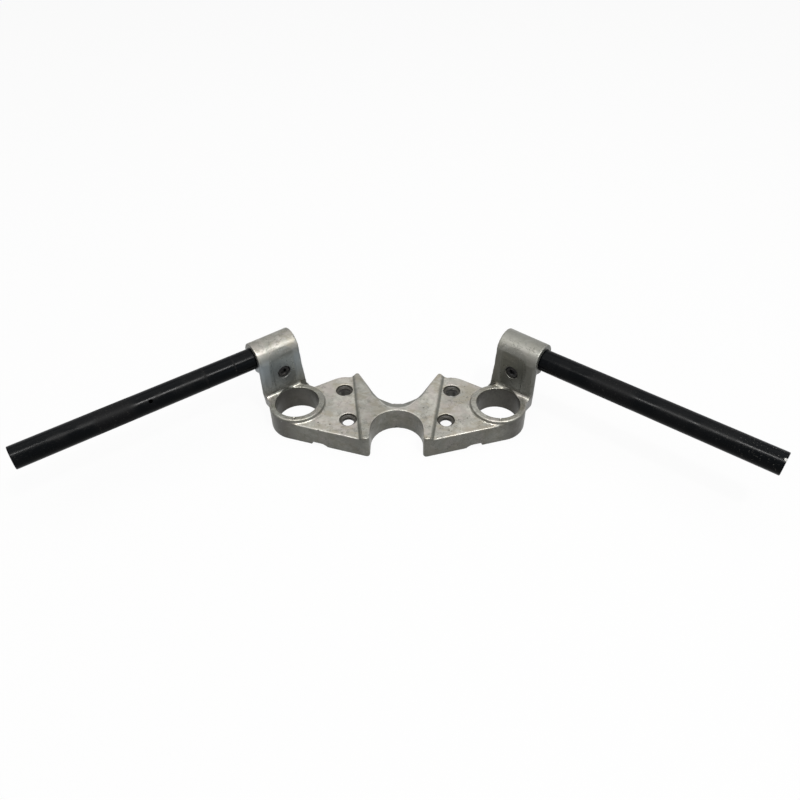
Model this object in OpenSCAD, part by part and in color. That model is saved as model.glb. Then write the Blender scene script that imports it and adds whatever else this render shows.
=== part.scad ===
// One-piece handlebar bridge with two swept-back bar tubes, each held by a pinch screw.
// X runs from the rider's left to the right, Y forward, Z up. The origin is on the
// underside, midway between the two fork rings.

/* [Fork rings] */
// Distance between the two fork tube axes
fork_spacing = 208; // [200:1:216]
// Bore of each fork ring
fork_bore_d = 44.6; // [43:0.1:45]
// Wall of each fork ring
ring_wall = 6.4; // [6:0.1:7]
// Height of the fork rings over the underside
ring_h = 27; // [26:0.5:29]
// Chamfer at both ends of the fork bore
bore_chamfer = 0.5; // [0.3:0.1:0.8]
// Diameter of the drilled dot on each rim
dot_d = 2.4; // [2:0.1:3]

/* [Plate] */
// Height of the bolt pads over the underside
pad_h = 23; // [22:0.5:24]
// Height of the raised web between the pads
web_h = 26; // [25:0.5:27]
// Thickness of the top plate over the pockets
plate_t = 7; // [6:0.5:9]
// Thickness of the skirt around the pockets
skirt_t = 6; // [5:0.5:7]
// Radius of the stem nut notch in the near edge
stem_notch_r = 26.5; // [25:0.5:27]
// Centre of the stem nut notch along Y
stem_notch_y = -37.4; // [-39:0.1:-36]
// Radius of the wide arc in the far edge
switch_arc_r = 40; // [38:0.5:42]
// Where that arc crosses the middle along Y
switch_arc_y = 4.3; // [3:0.1:6]
// Lean of the far notch's straight sides from the X axis
notch_side_angle = 62.7; // [60:0.1:65]
// Radius of the ignition switch relief in the neck
switch_relief_r = 19.3; // [18:0.1:21]
// Slope of the relief's floor
switch_relief_slope = 22.5; // [18:0.5:25]

/* [Bolt holes] */
// Half the distance between the two far bolts
far_bolt_x = 56.8; // [56:0.1:58]
// Place of the far bolts along Y
far_bolt_y = 22.8; // [22:0.1:24]
// Half the distance between the two near bolts
near_bolt_x = 49.7; // [49:0.1:51]
// Place of the near bolts along Y
near_bolt_y = -21.7; // [-23:0.1:-21]
// Diameter of the bolt head recess
head_recess_d = 17.8; // [17:0.1:18.5]
// Depth of the bolt head recess
head_recess_depth = 3; // [2:0.5:3.5]
// Diameter of the bolt hole
bolt_hole_d = 12; // [11:0.5:12.5]

/* [Risers] */
// Sweep of the bar tubes back from the X axis
sweep = 36.5; // [35:0.5:38]
// Height of the tube axis over the underside
bar_h = 69.5; // [68:0.5:72]
// Radius of the tube boss at its inner end
boss_r = 16.7; // [16.5:0.1:17.5]
// Radius of the tube boss at its outer end
boss_tip_r = 16.1; // [16:0.1:16.5]
// Distance from the fork axis to the tube axis, level
boss_offset = 40; // [39.8:0.1:41]
// Reach of the boss toward the middle
boss_in = 21.5; // [21:0.5:23]
// Reach of the boss toward the bar end
boss_out = 24; // [23:0.5:26]
// Width of the pinch slit under the bar tube
slit_w = 2; // [1.5:0.1:2.5]
// Depth of the pinch slit under the tube axis
slit_reach = 31.5; // [30:0.5:33]
// Depth of the milled flat around the screw
flat_depth = 0.5; // [0.3:0.1:0.8]

/* [Bar tubes] */
// Outer diameter of the bar tubes
tube_d = 22.2; // [22:0.1:22.4]
// Wall of the bar tubes
tube_wall = 2.5; // [2:0.1:3]
// Length of each bar tube
tube_len = 280; // [240:1:320]
// Depth of the seat turned on the tube's clamped end, which leaves a shoulder outside the boss
seat_depth = 0.2; // [0.1:0.05:0.3]
// Radial gap between the tube's seat and the boss
tube_gap = 0.08; // [0.02:0.01:0.15]
// Diameter of the locating hole in the left tube
locator_d = 4; // [3:0.5:5]
// Distance of the locating hole from the boss middle
locator_at = 133; // [125:1:140]
// Angle of the locating hole over level, seen from the rider
locator_angle = 36.5; // [30:0.5:45]

/* [Pinch screws] */
// Major diameter of the screw thread
screw_d = 8; // [8:0.1:8]
// Length of the screw under its head
screw_len = 20; // [18:1:22]
// Diameter of the screw head
screw_head_d = 13; // [12.8:0.1:13.2]
// Height of the screw head
screw_head_h = 8; // [7.5:0.1:8.2]
// Width of the hexagon socket across its flats
socket_af = 6; // [5.8:0.1:6.2]
// Depth of the hexagon socket
socket_depth = 4.4; // [4:0.1:5]
// Distance from the tube axis down to the screw
screw_drop = 19.5; // [18.5:0.5:20.5]
// Place of the screw along the boss, toward the bar end
screw_t = -1.5; // [-3:0.5:2]

/* [Hidden] */
fork_x = fork_spacing / 2;
ring_r = fork_bore_d / 2 + ring_wall;
face_n = boss_offset - boss_r + 0.1;
tube_r = tube_d / 2;
seat_r = tube_r - seat_depth;
boss_bore_r = seat_r + tube_gap;
// The tube ends this far inside the boss, and its shoulder stands this far outside it
tube_start = -boss_in + 0.5;
shoulder_at = boss_out + 0.3;
screw_z = bar_h - screw_drop;
slit_low = bar_h - slit_reach;
screw_head_gap = 0.5;
screw_thread_gap = 0.05;
screw_hole_gap = 0.4;
screw_run_out = 1.5;
// The head stands this deep behind the milled flat
screw_head_depth = 1;
screw_seat_n = face_n + flat_depth + screw_head_depth + screw_head_h;
pocket_top = pad_h - plate_t;
through = 1;
above = 60;
arc_n = 64;
soft_n = 32;

// The near edge's angle from the X axis, and the round on its corner beside the stem notch
front_angle = 16.7;
horn_r = 3.2;
// The rounded lobe behind each far bolt, and the tip of the web beside it
lobe_r = 21.8;
lobe_angle = 58;
tip = [43.4, 48];
tip_r = 2.4;
// The line where the web's side meets the pad, from the near end to the far end
foot_near = [36.5, -52.5];
foot_far = [49.8, 45.5];
foot_run = foot_far - foot_near;
foot_angle = atan2(foot_run[1], foot_run[0]);
web_side_w = 3.8;
// The bevel along the far notch: where its upper edges meet, their angles and its slopes
bevel_corner = [25.4, 9.1];
side_bevel_angle = 65.2;
side_bevel_slope = 40;
corner_bevel_angle = 44.6;
corner_bevel_slope = 26;
bevel_w = 40;
side_bevel_end = 40;
corner_bevel_end = 19;
// A point on the far notch's straight side, and the round at its foot
notch_side = [22.3, 13.4];
notch_r = 7;
switch_arc_half = 22;
// The land left between the stem notch and the switch relief, and the relief's depth
neck_land = 3;
relief_depth = 5;
// The pocket under each pad: its two corners on the notch's side, and the two at the neck
pocket_low_y = 14;
pocket_high_y = 38;
pocket_neck = [[26, 3], [22, -8]];
pocket_near_x = 33.5;
collar_fillet = 2.2;
rim_round = 1.8;
riser_fillet = 4;
// How far each fillet's arc runs past the faces it joins
fillet_dip = 0.1;
// How far the gusset stays under the rim
gusset_drop = 0.3;
// The riser's outline seen from the front: its reach at the foot and at the shoulder
foot_in = 25;
flare_in = 31;
flare_z = 14;
toe_out = 17;
foot_out = 24.3;
foot_z = ring_h + 3;
shoulder_out = 25.5;
shoulder_z = bar_h - 17.5;
// The riser's back, which is narrower than its front
back_n = 54;
back_in = 15;
back_out = 12;
riser_r = 3.5;
// The milled flat around the screw
flat_in = -15;
flat_out = 11;
flat_low = ring_h + riser_fillet;
// The shallow scallop in the lower near edge, with its slanted ends
scallop_at = [78.5, -36];
scallop_w = 16;
scallop_h = 3;
scallop_slant = 5;

function on_circle(c, r, a) = c + r * [cos(a), sin(a)];

function arc(c, r, from, to, steps) = [for (i = [0:steps]) on_circle(c, r, from + (to - from) * i / steps)];

// The crossing of a line through p at angle a with a line through q at angle b
function meet(p, a, q, b) = p + [cos(a), sin(a)] * cross(q - p, [cos(b), sin(b)]) / sin(b - a);

// The arc that rounds corner b, between a and c, with radius r
function rounding(a, b, c, r, steps = 6) =
    let (u = (a - b) / norm(a - b), v = (c - b) / norm(c - b), half = acos(u * v) / 2,
         o = b + (u + v) / norm(u + v) * r / sin(half),
         p = b + u * r / tan(half) - o, q = b + v * r / tan(half) - o,
         start = atan2(p[1], p[0]), turn = (atan2(q[1], q[0]) - start + 540) % 360 - 180)
    arc(o, r, start, start + turn, steps);

function rounded(points, r) = [for (i = [0:len(points) - 1])
    each rounding(points[(i + len(points) - 1) % len(points)], points[i], points[(i + 1) % len(points)], r)];

stem_c = [0, stem_notch_y];
fork_c = [fork_x, 0];
far_bolt = [far_bolt_x, far_bolt_y];
switch_c = [0, switch_arc_y + switch_arc_r];
plan_ring_r = ring_r - 0.1;
front_tangent = on_circle(fork_c, plan_ring_r, front_angle - 90);
horn = meet([stem_notch_r, 0], 90, front_tangent, front_angle);
arc_end = on_circle(switch_c, switch_arc_r, switch_arc_half - 90);
notch_corner = meet(arc_end, switch_arc_half, notch_side, notch_side_angle);
lobe_end = on_circle(far_bolt, lobe_r, 100);
ring_join = 113;

half_outline = concat(
    arc(stem_c, stem_notch_r, 90, 0, 16),
    rounding([stem_notch_r, stem_notch_y], horn, front_tangent, horn_r),
    arc(fork_c, plan_ring_r, front_angle - 90, ring_join, 18),
    arc(far_bolt, lobe_r, lobe_angle, 100, 6),
    rounding(lobe_end, tip, notch_corner, tip_r),
    rounding(tip, notch_corner, arc_end, notch_r),
    arc(switch_c, switch_arc_r, switch_arc_half - 90, -90, 6));
mirrored_outline = [for (i = [len(half_outline) - 2:-1:1]) [-half_outline[i][0], half_outline[i][1]]];
outline = concat(half_outline, mirrored_outline);

riser_outline = rounded([[-flare_in, face_n], [shoulder_out + 1, face_n], [back_out, back_n],
                         [-back_in, back_n]], riser_r);
// The riser's outline seen from the front, with its flare toward the pad as an arc
riser_front = concat([[toe_out, 0], [foot_out, foot_z], [shoulder_out, shoulder_z], [boss_out, bar_h],
                      [-boss_in, bar_h], [-boss_in - 0.7, shoulder_z]],
                     rounding([-boss_in - 0.7, shoulder_z], [-foot_in, pad_h], [-flare_in, flare_z], 10),
                     [[-flare_in, flare_z], [-flare_in, 0]]);

module in_riser_frame() {
    translate([fork_x, 0, 0]) rotate([0, 0, -sweep]) children();
}

module both_sides() {
    children();
    mirror([1, 0, 0]) children();
}

module along_n(from, to) {
    translate([0, to, 0]) rotate([90, 0, 0]) linear_extrude(to - from) children();
}

module along_t(from, to) {
    translate([from, 0, 0]) rotate([90, 0, 90]) linear_extrude(to - from) children();
}

// The fill between the ring and the riser's outer foot
module gusset(height) {
    corner_c = [foot_out - riser_r, face_n + riser_r];
    reach = norm(corner_c);
    normal = atan2(corner_c[1], corner_c[0]) - acos((plan_ring_r - riser_r) / reach);
    in_riser_frame() linear_extrude(height)
        polygon([[0, 0], on_circle([0, 0], plan_ring_r, normal), on_circle(corner_c, riser_r, normal),
                 corner_c, [0, corner_c[1]]]);
}

module web_plan() {
    spare = [web_side_w / 2, 0];
    near_end = foot_near - foot_run / 8 + spare;
    far_end = foot_far + foot_run / 8 + spare;
    intersection() {
        polygon(outline);
        polygon([near_end, far_end, [-far_end[0], far_end[1]], [-near_end[0], near_end[1]]]);
    }
}

module pocket_plan() {
    inset_front = front_tangent + skirt_t * [-sin(front_angle), cos(front_angle)];
    inset_side = notch_side + [skirt_t / sin(notch_side_angle), 0];
    difference() {
        polygon(concat([meet([pocket_near_x, 0], 90, inset_front, front_angle), inset_front],
                       [[fork_x, far_bolt_y - 3]],
                       arc(far_bolt, lobe_r - skirt_t, lobe_angle, 100, 6),
                       [meet([0, pocket_high_y], 0, inset_side, notch_side_angle),
                        meet([0, pocket_low_y], 0, inset_side, notch_side_angle)],
                       pocket_neck));
        translate(stem_c) circle(r = stem_notch_r + skirt_t, $fn = arc_n);
        translate(fork_c) circle(r = ring_r, $fn = arc_n);
        translate(fork_c) rotate(-sweep) polygon(riser_outline);
    }
}

module web() {
    difference() {
        linear_extrude(web_h) web_plan();
        both_sides() web_side_cut();
    }
}

module web_side_cut() {
    rise = web_h - pad_h;
    translate([foot_near[0], foot_near[1], pad_h]) rotate([0, 0, foot_angle])
        along_t(-skirt_t, norm(foot_run) + skirt_t)
        polygon([[-web_side_w, -rise], [web_side_w, rise], [web_side_w, 2 * rise], [-web_side_w, 2 * rise]]);
}

module bevel_cut(angle, slope, from) {
    translate([bevel_corner[0], bevel_corner[1], web_h]) rotate([0, 0, angle]) along_t(from, above)
        polygon([[0, 0], [bevel_w, -bevel_w * tan(slope)], [bevel_w, 1], [0, 1]]);
}

module notch_bevel() {
    intersection() {
        bevel_cut(side_bevel_angle, side_bevel_slope, -side_bevel_end);
        bevel_cut(corner_bevel_angle, corner_bevel_slope, -corner_bevel_end);
    }
}

module neck_relief() {
    relief_y = stem_notch_y + stem_notch_r + neck_land + switch_relief_r;
    translate([0, relief_y, web_h - relief_depth])
        cylinder(h = relief_depth + 0.001, r1 = switch_relief_r - relief_depth / tan(switch_relief_slope),
                 r2 = switch_relief_r, $fn = arc_n);
}

module pads() {
    linear_extrude(pad_h) polygon(outline);
}

module pocket() {
    translate([0, 0, -through]) linear_extrude(pocket_top + through) pocket_plan();
}

module ring() {
    translate([fork_x, 0, 0]) rotate_extrude($fn = arc_n) {
        square([ring_r - rim_round, ring_h]);
        square([ring_r, ring_h - rim_round]);
        translate([ring_r - rim_round, ring_h - rim_round]) circle(r = rim_round, $fn = soft_n);
    }
    intersection() {
        translate([fork_x, 0, 0]) rotate_extrude($fn = arc_n)
            translate([ring_r, pad_h]) fillet(collar_fillet);
        linear_extrude(ring_h) polygon(outline);
    }
}

module riser() {
    in_riser_frame() {
        intersection() {
            linear_extrude(bar_h) polygon(riser_outline);
            along_n(0, above) polygon(riser_front);
        }
        translate([-boss_in, boss_offset, bar_h]) rotate([0, 90, 0])
            cylinder(h = boss_in + boss_out, r1 = boss_r, r2 = boss_tip_r, $fn = arc_n);
    }
    intersection() {
        gusset(ring_h - gusset_drop);
        in_riser_frame() along_n(-ring_r, above) polygon(riser_front);
    }
    intersection() {
        in_riser_frame() along_t(-foot_in + 1, foot_out - 1)
            translate([face_n, ring_h]) mirror([1, 0]) fillet(riser_fillet);
        union() {
            translate([fork_x, 0, 0]) cylinder(h = bar_h, r = plan_ring_r, $fn = arc_n);
            gusset(bar_h);
        }
    }
}

// The fill of an inside corner at the origin, between a wall along Y and a floor along X
module fillet(r) {
    centre = r - fillet_dip;
    difference() {
        translate([-1, -1]) square([centre + 1, centre + 1]);
        translate([centre, centre]) circle(r = r, $fn = soft_n);
    }
}

module ring_cuts() {
    bore_r = fork_bore_d / 2;
    mouth_r = bore_r + bore_chamfer;
    dot_y = -bore_r - 2.45;
    translate([fork_x, 0, 0]) rotate_extrude($fn = arc_n)
        polygon([[0, -through], [mouth_r, -through], [mouth_r, 0], [bore_r, bore_chamfer],
                 [bore_r, ring_h - bore_chamfer], [mouth_r, ring_h], [mouth_r, above], [0, above]]);
    translate([fork_x, dot_y, ring_h - 1]) cylinder(h = 2, d = dot_d, $fn = soft_n);
}

module bolt_hole(x, y) {
    translate([x, y, -through]) cylinder(h = ring_h, d = bolt_hole_d, $fn = arc_n);
    translate([x, y, pad_h - head_recess_depth]) cylinder(h = ring_h, r = head_recess_d / 2, $fn = arc_n);
}

module riser_cuts() {
    in_riser_frame() {
        translate([-above, boss_offset, bar_h]) rotate([0, 90, 0])
            cylinder(h = 2 * above, r = boss_bore_r, $fn = arc_n);
        translate([-above, boss_offset - slit_w / 2, slit_low]) cube([2 * above, slit_w, bar_h - slit_low]);
        translate([-above, boss_offset, slit_low]) rotate([0, 90, 0])
            cylinder(h = 2 * above, r = slit_w, $fn = soft_n);
        translate([flat_in, face_n - through, flat_low])
            cube([flat_out - flat_in, through + flat_depth, above]);
        translate([screw_t, 0, screw_z]) rotate([-90, 0, 0]) {
            cylinder(h = screw_seat_n, d = screw_head_d + 2 * screw_head_gap, $fn = arc_n);
            cylinder(h = boss_offset, d = screw_d + 2 * screw_hole_gap, $fn = arc_n);
            cylinder(h = screw_seat_n + screw_len + screw_run_out, d = screw_d, $fn = arc_n);
        }
    }
}

module scallop() {
    half = scallop_w / 2;
    translate([scallop_at[0], scallop_at[1], 0]) rotate([0, 0, front_angle]) along_n(-skirt_t, skirt_t)
        polygon([[-half, -through], [-half, 1], [-half + scallop_slant, scallop_h],
                 [half - 1, scallop_h], [half, scallop_h - 1], [half, -through]]);
}

module bridge_casting() {
    color("#b9b5ac") difference() {
        union() {
            pads();
            web();
            both_sides() ring();
            both_sides() riser();
        }
        neck_relief();
        both_sides() {
            notch_bevel();
            pocket();
            ring_cuts();
            riser_cuts();
            bolt_hole(far_bolt_x, far_bolt_y);
            bolt_hole(near_bolt_x, near_bolt_y);
            scallop();
        }
    }
}

module tube_body() {
    end_chamfer = 0.5;
    inner_r = tube_r - tube_wall;
    tube_end = tube_start + tube_len;
    in_riser_frame() translate([0, boss_offset, bar_h]) rotate([0, 90, 0]) rotate_extrude($fn = arc_n)
        polygon([[inner_r, tube_start], [seat_r, tube_start], [seat_r, shoulder_at], [tube_r, shoulder_at],
                 [tube_r, tube_end - end_chamfer], [tube_r - end_chamfer, tube_end],
                 [inner_r + end_chamfer, tube_end], [inner_r, tube_end - end_chamfer]]);
}

module right_bar_tube() {
    color("#15171b") tube_body();
}

module left_bar_tube() {
    color("#15171b") mirror([1, 0, 0]) difference() {
        tube_body();
        in_riser_frame() translate([locator_at, boss_offset, bar_h]) rotate([90 - locator_angle, 0, 0])
            cylinder(h = 20, d = locator_d, $fn = soft_n);
    }
}

module pinch_screw() {
    socket_d = socket_af / cos(30);
    head_chamfer = 0.8;
    in_riser_frame() translate([screw_t, screw_seat_n, screw_z]) rotate([-90, 0, 0]) difference() {
        union() {
            translate([0, 0, -screw_head_h + head_chamfer])
                cylinder(h = screw_head_h - head_chamfer, d = screw_head_d, $fn = arc_n);
            translate([0, 0, -screw_head_h])
                cylinder(h = head_chamfer, d1 = screw_head_d - 2 * head_chamfer, d2 = screw_head_d,
                         $fn = arc_n);
            cylinder(h = screw_len, d = screw_d - 2 * screw_thread_gap, $fn = arc_n);
        }
        translate([0, 0, -screw_head_h - through])
            cylinder(h = socket_depth + through, d = socket_d, $fn = 6);
    }
}

module right_pinch_screw() {
    color("#1d1e20") pinch_screw();
}

module left_pinch_screw() {
    color("#1d1e20") mirror([1, 0, 0]) pinch_screw();
}

bridge_casting();
left_bar_tube();
right_bar_tube();
left_pinch_screw();
right_pinch_screw();
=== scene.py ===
# %% [markdown]
# # A cast handlebar bridge with two black bars
# The object is one aluminium casting that sits on a motorcycle's top yoke, with a straight steel
# tube clamped in each of its two risers. The solid model already has every size, so this lesson
# only gives it its looks: the soft edges of a casting, the worn skin, the gloss of the bars.

# %% Load the solid model as a fixed frame
import math

import bmesh
import bpy
import numpy as np
from mathutils import Matrix, Vector


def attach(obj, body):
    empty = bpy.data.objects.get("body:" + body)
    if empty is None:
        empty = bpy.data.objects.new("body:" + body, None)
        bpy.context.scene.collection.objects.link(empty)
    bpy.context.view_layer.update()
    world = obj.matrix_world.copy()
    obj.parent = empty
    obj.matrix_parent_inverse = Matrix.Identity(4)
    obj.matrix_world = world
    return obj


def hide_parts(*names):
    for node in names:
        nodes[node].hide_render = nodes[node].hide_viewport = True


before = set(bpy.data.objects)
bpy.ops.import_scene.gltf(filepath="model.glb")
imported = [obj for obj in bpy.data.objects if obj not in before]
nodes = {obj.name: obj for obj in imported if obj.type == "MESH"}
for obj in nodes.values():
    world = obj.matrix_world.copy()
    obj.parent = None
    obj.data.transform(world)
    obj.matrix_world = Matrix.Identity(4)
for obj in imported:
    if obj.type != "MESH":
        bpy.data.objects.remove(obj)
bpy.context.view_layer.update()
MM = 0.001
print("nodes:", sorted(nodes))

# %% [markdown]
# ## The camera
# A lens is one number: how many pixels a metre fills at a distance of a metre. It was found by
# lining up the bar tubes, the collars' rims and the bolt holes, and the view from it shows the
# solids where the photograph has them. The camera comes first, because every finish is judged
# through it.

# %% Set the camera
picture_width = 800
focal_length_px = 720.07
look_at = Vector((1.75, 32.6, 0.0)) * MM
look_from_mm = 785.47
elevation = math.radians(42.51)
azimuth = math.radians(-1.696)
roll = math.radians(-0.818)
sensor_width_mm = 36.0

forward = Vector((math.sin(azimuth) * math.cos(elevation),
                  math.cos(azimuth) * math.cos(elevation),
                  -math.sin(elevation)))
level_right = Vector((math.cos(azimuth), -math.sin(azimuth), 0.0))
level_up = level_right.cross(forward)
picture_right = math.cos(roll) * level_right + math.sin(roll) * level_up
picture_up = picture_right.cross(forward)

lens = bpy.data.cameras.new("camera")
lens.sensor_width = sensor_width_mm
lens.lens = focal_length_px / picture_width * lens.sensor_width
lens.clip_start, lens.clip_end = 0.01, 50.0
camera = bpy.data.objects.new("camera", lens)
turn = Matrix((picture_right, picture_up, -forward)).transposed()
camera.matrix_world = Matrix.Translation(look_at - forward * look_from_mm * MM) @ turn.to_4x4()
bpy.context.scene.collection.objects.link(camera)
bpy.context.scene.camera = camera
bpy.context.scene.view_settings.view_transform = "Standard"
print("lens", round(lens.lens, 2), "mm, camera at", [round(v, 3) for v in camera.location])

# %% [markdown]
# ## Sizes that the pieces share
# The two bars lie on axes that sweep back from the middle. A piece made along its own Z axis is
# laid on the right bar's axis by one matrix, and the left one is its mirror image.

# %% Name the sizes
fork_x = 104.0
fork_bore_r = 22.3
ring_top = 27.0
sweep = math.radians(36.5)
boss_offset = 40.0
bar_height = 69.5
bar_radius = 11.1
bar_bore = 8.6
seat_radius = 10.9
seat_start = -21.0
shoulder_at = 24.3
bar_end = 259.0
bar_lip = 0.9
locator_at = 133.0
locator_radius = 2.0
locator_rise = math.radians(36.5)
screw_height = 50.0
screw_along = -1.5
screw_head_radius = 6.5
screw_head_height = 8.0
screw_seat = 32.9

along_bar = Vector((math.cos(sweep), -math.sin(sweep), 0.0))
ahead = Vector((math.sin(sweep), math.cos(sweep), 0.0))
skyward = Vector((0.0, 0.0, 1.0))


def riser_point(along, forward_by, height):
    """A point in the right riser's own directions, in metres."""
    flat = Vector((fork_x, 0.0, 0.0)) + along_bar * along + ahead * forward_by
    return (flat + skyward * height) * MM


def placed(x_axis, y_axis, z_axis, origin):
    """The matrix that lays a piece's own axes along three directions."""
    return Matrix.Translation(origin) @ Matrix((x_axis, y_axis, z_axis)).transposed().to_4x4()


def riser_ways(side, y):
    """How far a place is along the bar and ahead of the fork's axis, both sides laid on one."""
    along = (side - fork_x) * math.cos(sweep) - y * math.sin(sweep)
    depth = (side - fork_x) * math.sin(sweep) + y * math.cos(sweep)
    return along, depth


mirror_image = Matrix.Diagonal((-1.0, 1.0, 1.0, 1.0))
print("right bar ends at", [round(v, 4) for v in riser_point(bar_end, boss_offset, bar_height)])

# %% [markdown]
# ## Shader maths as sums
# A finish is worked out from positions and noise, which takes a lot of Math nodes. One small
# class wraps a socket, so that a sum in Python adds its own nodes, and every other node comes
# from one method.

# %% Wrap a socket so that it can be used in sums
class Value:
    def __init__(self, finish, socket):
        self.finish = finish
        self.socket = socket

    def __add__(self, other):
        return self.finish.maths("ADD", self, other)

    def __sub__(self, other):
        return self.finish.maths("SUBTRACT", self, other)

    def __rsub__(self, other):
        return self.finish.maths("SUBTRACT", other, self)

    def __mul__(self, other):
        return self.finish.maths("MULTIPLY", self, other)

    def __truediv__(self, other):
        return self.finish.maths("DIVIDE", self, other)

    def __gt__(self, other):
        return self.finish.maths("GREATER_THAN", self, other)

    def __lt__(self, other):
        return self.finish.maths("LESS_THAN", self, other)

    def root(self):
        return self.finish.maths("SQRT", self)

    def size(self):
        return self.finish.maths("ABSOLUTE", self)

    def most(self, other):
        return self.finish.maths("MAXIMUM", self, other)

    __radd__ = __add__
    __rmul__ = __mul__


# %% Build a material or a room's light node by node
class Finish:
    def __init__(self, owner):
        self.owner = owner
        owner.use_nodes = True
        self.tree = owner.node_tree
        self.tree.nodes.clear()
        if isinstance(owner, bpy.types.Material):
            self.place = self.node("ShaderNodeTexCoord", "Object")

    def node(self, kind, output, settings=None, inputs=None):
        """Adds a node, sets it up, links or sets its inputs and returns one of its outputs."""
        made = self.tree.nodes.new(kind)
        for key, setting in (settings or {}).items():
            setattr(made, key, setting)
        for key, given in (inputs or {}).items():
            socket = made.inputs[key]
            if isinstance(given, Value):
                self.tree.links.new(given.socket, socket)
            else:
                socket.default_value = given
        return Value(self, made.outputs[output])

    def maths(self, operation, first, second=None):
        inputs = {0: first}
        if second is not None:
            inputs[1] = second
        return self.node("ShaderNodeMath", "Value", {"operation": operation}, inputs)

    def rise(self, amount, start, end):
        """0 up to the start and 1 from the end on, with a smooth step between them."""
        inputs = {0: amount, 1: start, 2: end, 3: 0.0, 4: 1.0}
        return self.node("ShaderNodeMapRange", 0, {"interpolation_type": "SMOOTHSTEP"}, inputs)

    def within(self, amount, low, high, soft):
        """1 between two limits and 0 outside them, with soft edges."""
        half = soft / 2
        past_low = self.rise(amount, low - half, low + half)
        return past_low * (1.0 - self.rise(amount, high - half, high + half))

    def blend(self, amount, first, second):
        """A colour between two colours."""
        settings = {"data_type": "RGBA"}
        inputs = {"Factor": amount, 6: first, 7: second}
        return self.node("ShaderNodeMix", 2, settings, inputs)

    def layered(self, colour, layers):
        """A colour with others laid over it in turn, each as (how much, its colour)."""
        for amount, coat in layers:
            colour = self.blend(amount, colour, coat)
        return colour

    def mixed(self, amount, first, second):
        return self.node("ShaderNodeMixShader", 0, None, {0: amount, 1: first, 2: second})

    def noise(self, per_metre, detail=2.0, roughness=0.5, place=None):
        inputs = {"Vector": place or self.place, "Scale": per_metre, "Detail": detail,
                  "Roughness": roughness}
        return self.node("ShaderNodeTexNoise", 0, None, inputs)

    def spots(self, per_metre, radius, share):
        """Round spots of a radius in cells, in a share of the cells that the place is cut into."""
        inputs = {"Vector": self.place, "Scale": per_metre}
        near = self.node("ShaderNodeTexVoronoi", "Distance", None, inputs)
        draw = self.node("ShaderNodeTexVoronoi", "Color", None, inputs)
        return (1.0 - self.rise(near, radius * 0.6, radius)) * (draw < share)

    def stretched(self, turn, scale):
        """The place, turned and scaled, for a pattern with a direction."""
        inputs = {"Vector": self.place, "Rotation": turn, "Scale": scale}
        return self.node("ShaderNodeMapping", "Vector", None, inputs)

    def distance_to(self, point):
        inputs = {0: self.place, 1: tuple(point)}
        return self.node("ShaderNodeVectorMath", "Value", {"operation": "DISTANCE"}, inputs)

    def part(self, axis, vector=None):
        return self.node("ShaderNodeSeparateXYZ", axis, None, {0: vector or self.place})

    def rays_that_see_white(self):
        """1 for what is seen straight, mirrored or through glass, 0 for scattered light."""
        seen, mirrored, through = (self.node("ShaderNodeLightPath", f"Is {kind} Ray")
                                   for kind in ("Camera", "Glossy", "Transmission"))
        return seen.most(mirrored).most(through)

    def bump(self, height, depth_mm):
        inputs = {"Height": height, "Distance": depth_mm * MM, "Strength": 1.0}
        return self.node("ShaderNodeBump", "Normal", None, inputs)

    def end(self, shader, kind="Material"):
        output = self.tree.nodes.new("ShaderNodeOutput" + kind)
        self.tree.links.new(shader.socket, output.inputs["Surface"])
        return self.owner

    def surface(self, **inputs):
        """Ends the material in a Principled surface."""
        names = {key.replace("_", " "): given for key, given in inputs.items()}
        return self.end(self.node("ShaderNodeBsdfPrincipled", "BSDF", None, names))


# %% [markdown]
# ## The casting's shape
# A sand casting has no sharp edge: each corner of the pattern is rounded, and each inside corner
# is filled. Bevelling the solid's hundreds of edges one by one breaks down where they run
# together, so the whole solid is turned into an even skin of small squares and relaxed.

# %% Copy a solid and join its loose triangles
def joined_copy(node_name, piece_name):
    mesh = nodes[node_name].data.copy()
    work = bmesh.new()
    work.from_mesh(mesh)
    bmesh.ops.remove_doubles(work, verts=work.verts, dist=0.002 * MM)
    work.to_mesh(mesh)
    work.free()
    mesh.materials.clear()
    piece = bpy.data.objects.new(piece_name, mesh)
    bpy.context.scene.collection.objects.link(piece)
    return piece


def bake_modifiers(piece):
    """Turns what the modifiers make into the piece's own mesh."""
    graph = bpy.context.evaluated_depsgraph_get()
    made = bpy.data.meshes.new_from_object(piece.evaluated_get(graph))
    piece.modifiers.clear()
    piece.data = made
    return made


def points_of(mesh):
    flat = np.empty(len(mesh.vertices) * 3)
    mesh.vertices.foreach_get("co", flat)
    return flat.reshape(-1, 3)


# %% Turn the casting into an even skin
skin_step = 0.55
casting = joined_copy("bridge_casting", "casting_skin")
skin = casting.modifiers.new("skin", "REMESH")
skin.mode = "VOXEL"
skin.voxel_size = skin_step * MM
skin.use_smooth_shade = True
bake_modifiers(casting)
print("casting skin:", len(casting.data.vertices), "points")

# %% [markdown]
# The bores, recesses and flats were cut after the casting was poured, and a cut edge stays
# sharper than a cast one. How much a point may relax could be painted by hand. Here it is worked
# out from the point's place and kept in a vertex group, so that it follows the sizes.

# %% Mark what was machined, and relax the rest more
bolt_places = [(56.8, 22.8), (49.7, -21.7)]
recess_radius = 8.9
pad_top = 23.0
ring_radius = 28.7
milled_share = 0.3
cast_times = 14


def sides_of(points):
    """Each point in millimetres, with both sides of the casting laid on the right one."""
    return np.abs(points[:, 0]) / MM, points[:, 1] / MM, points[:, 2] / MM


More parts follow.
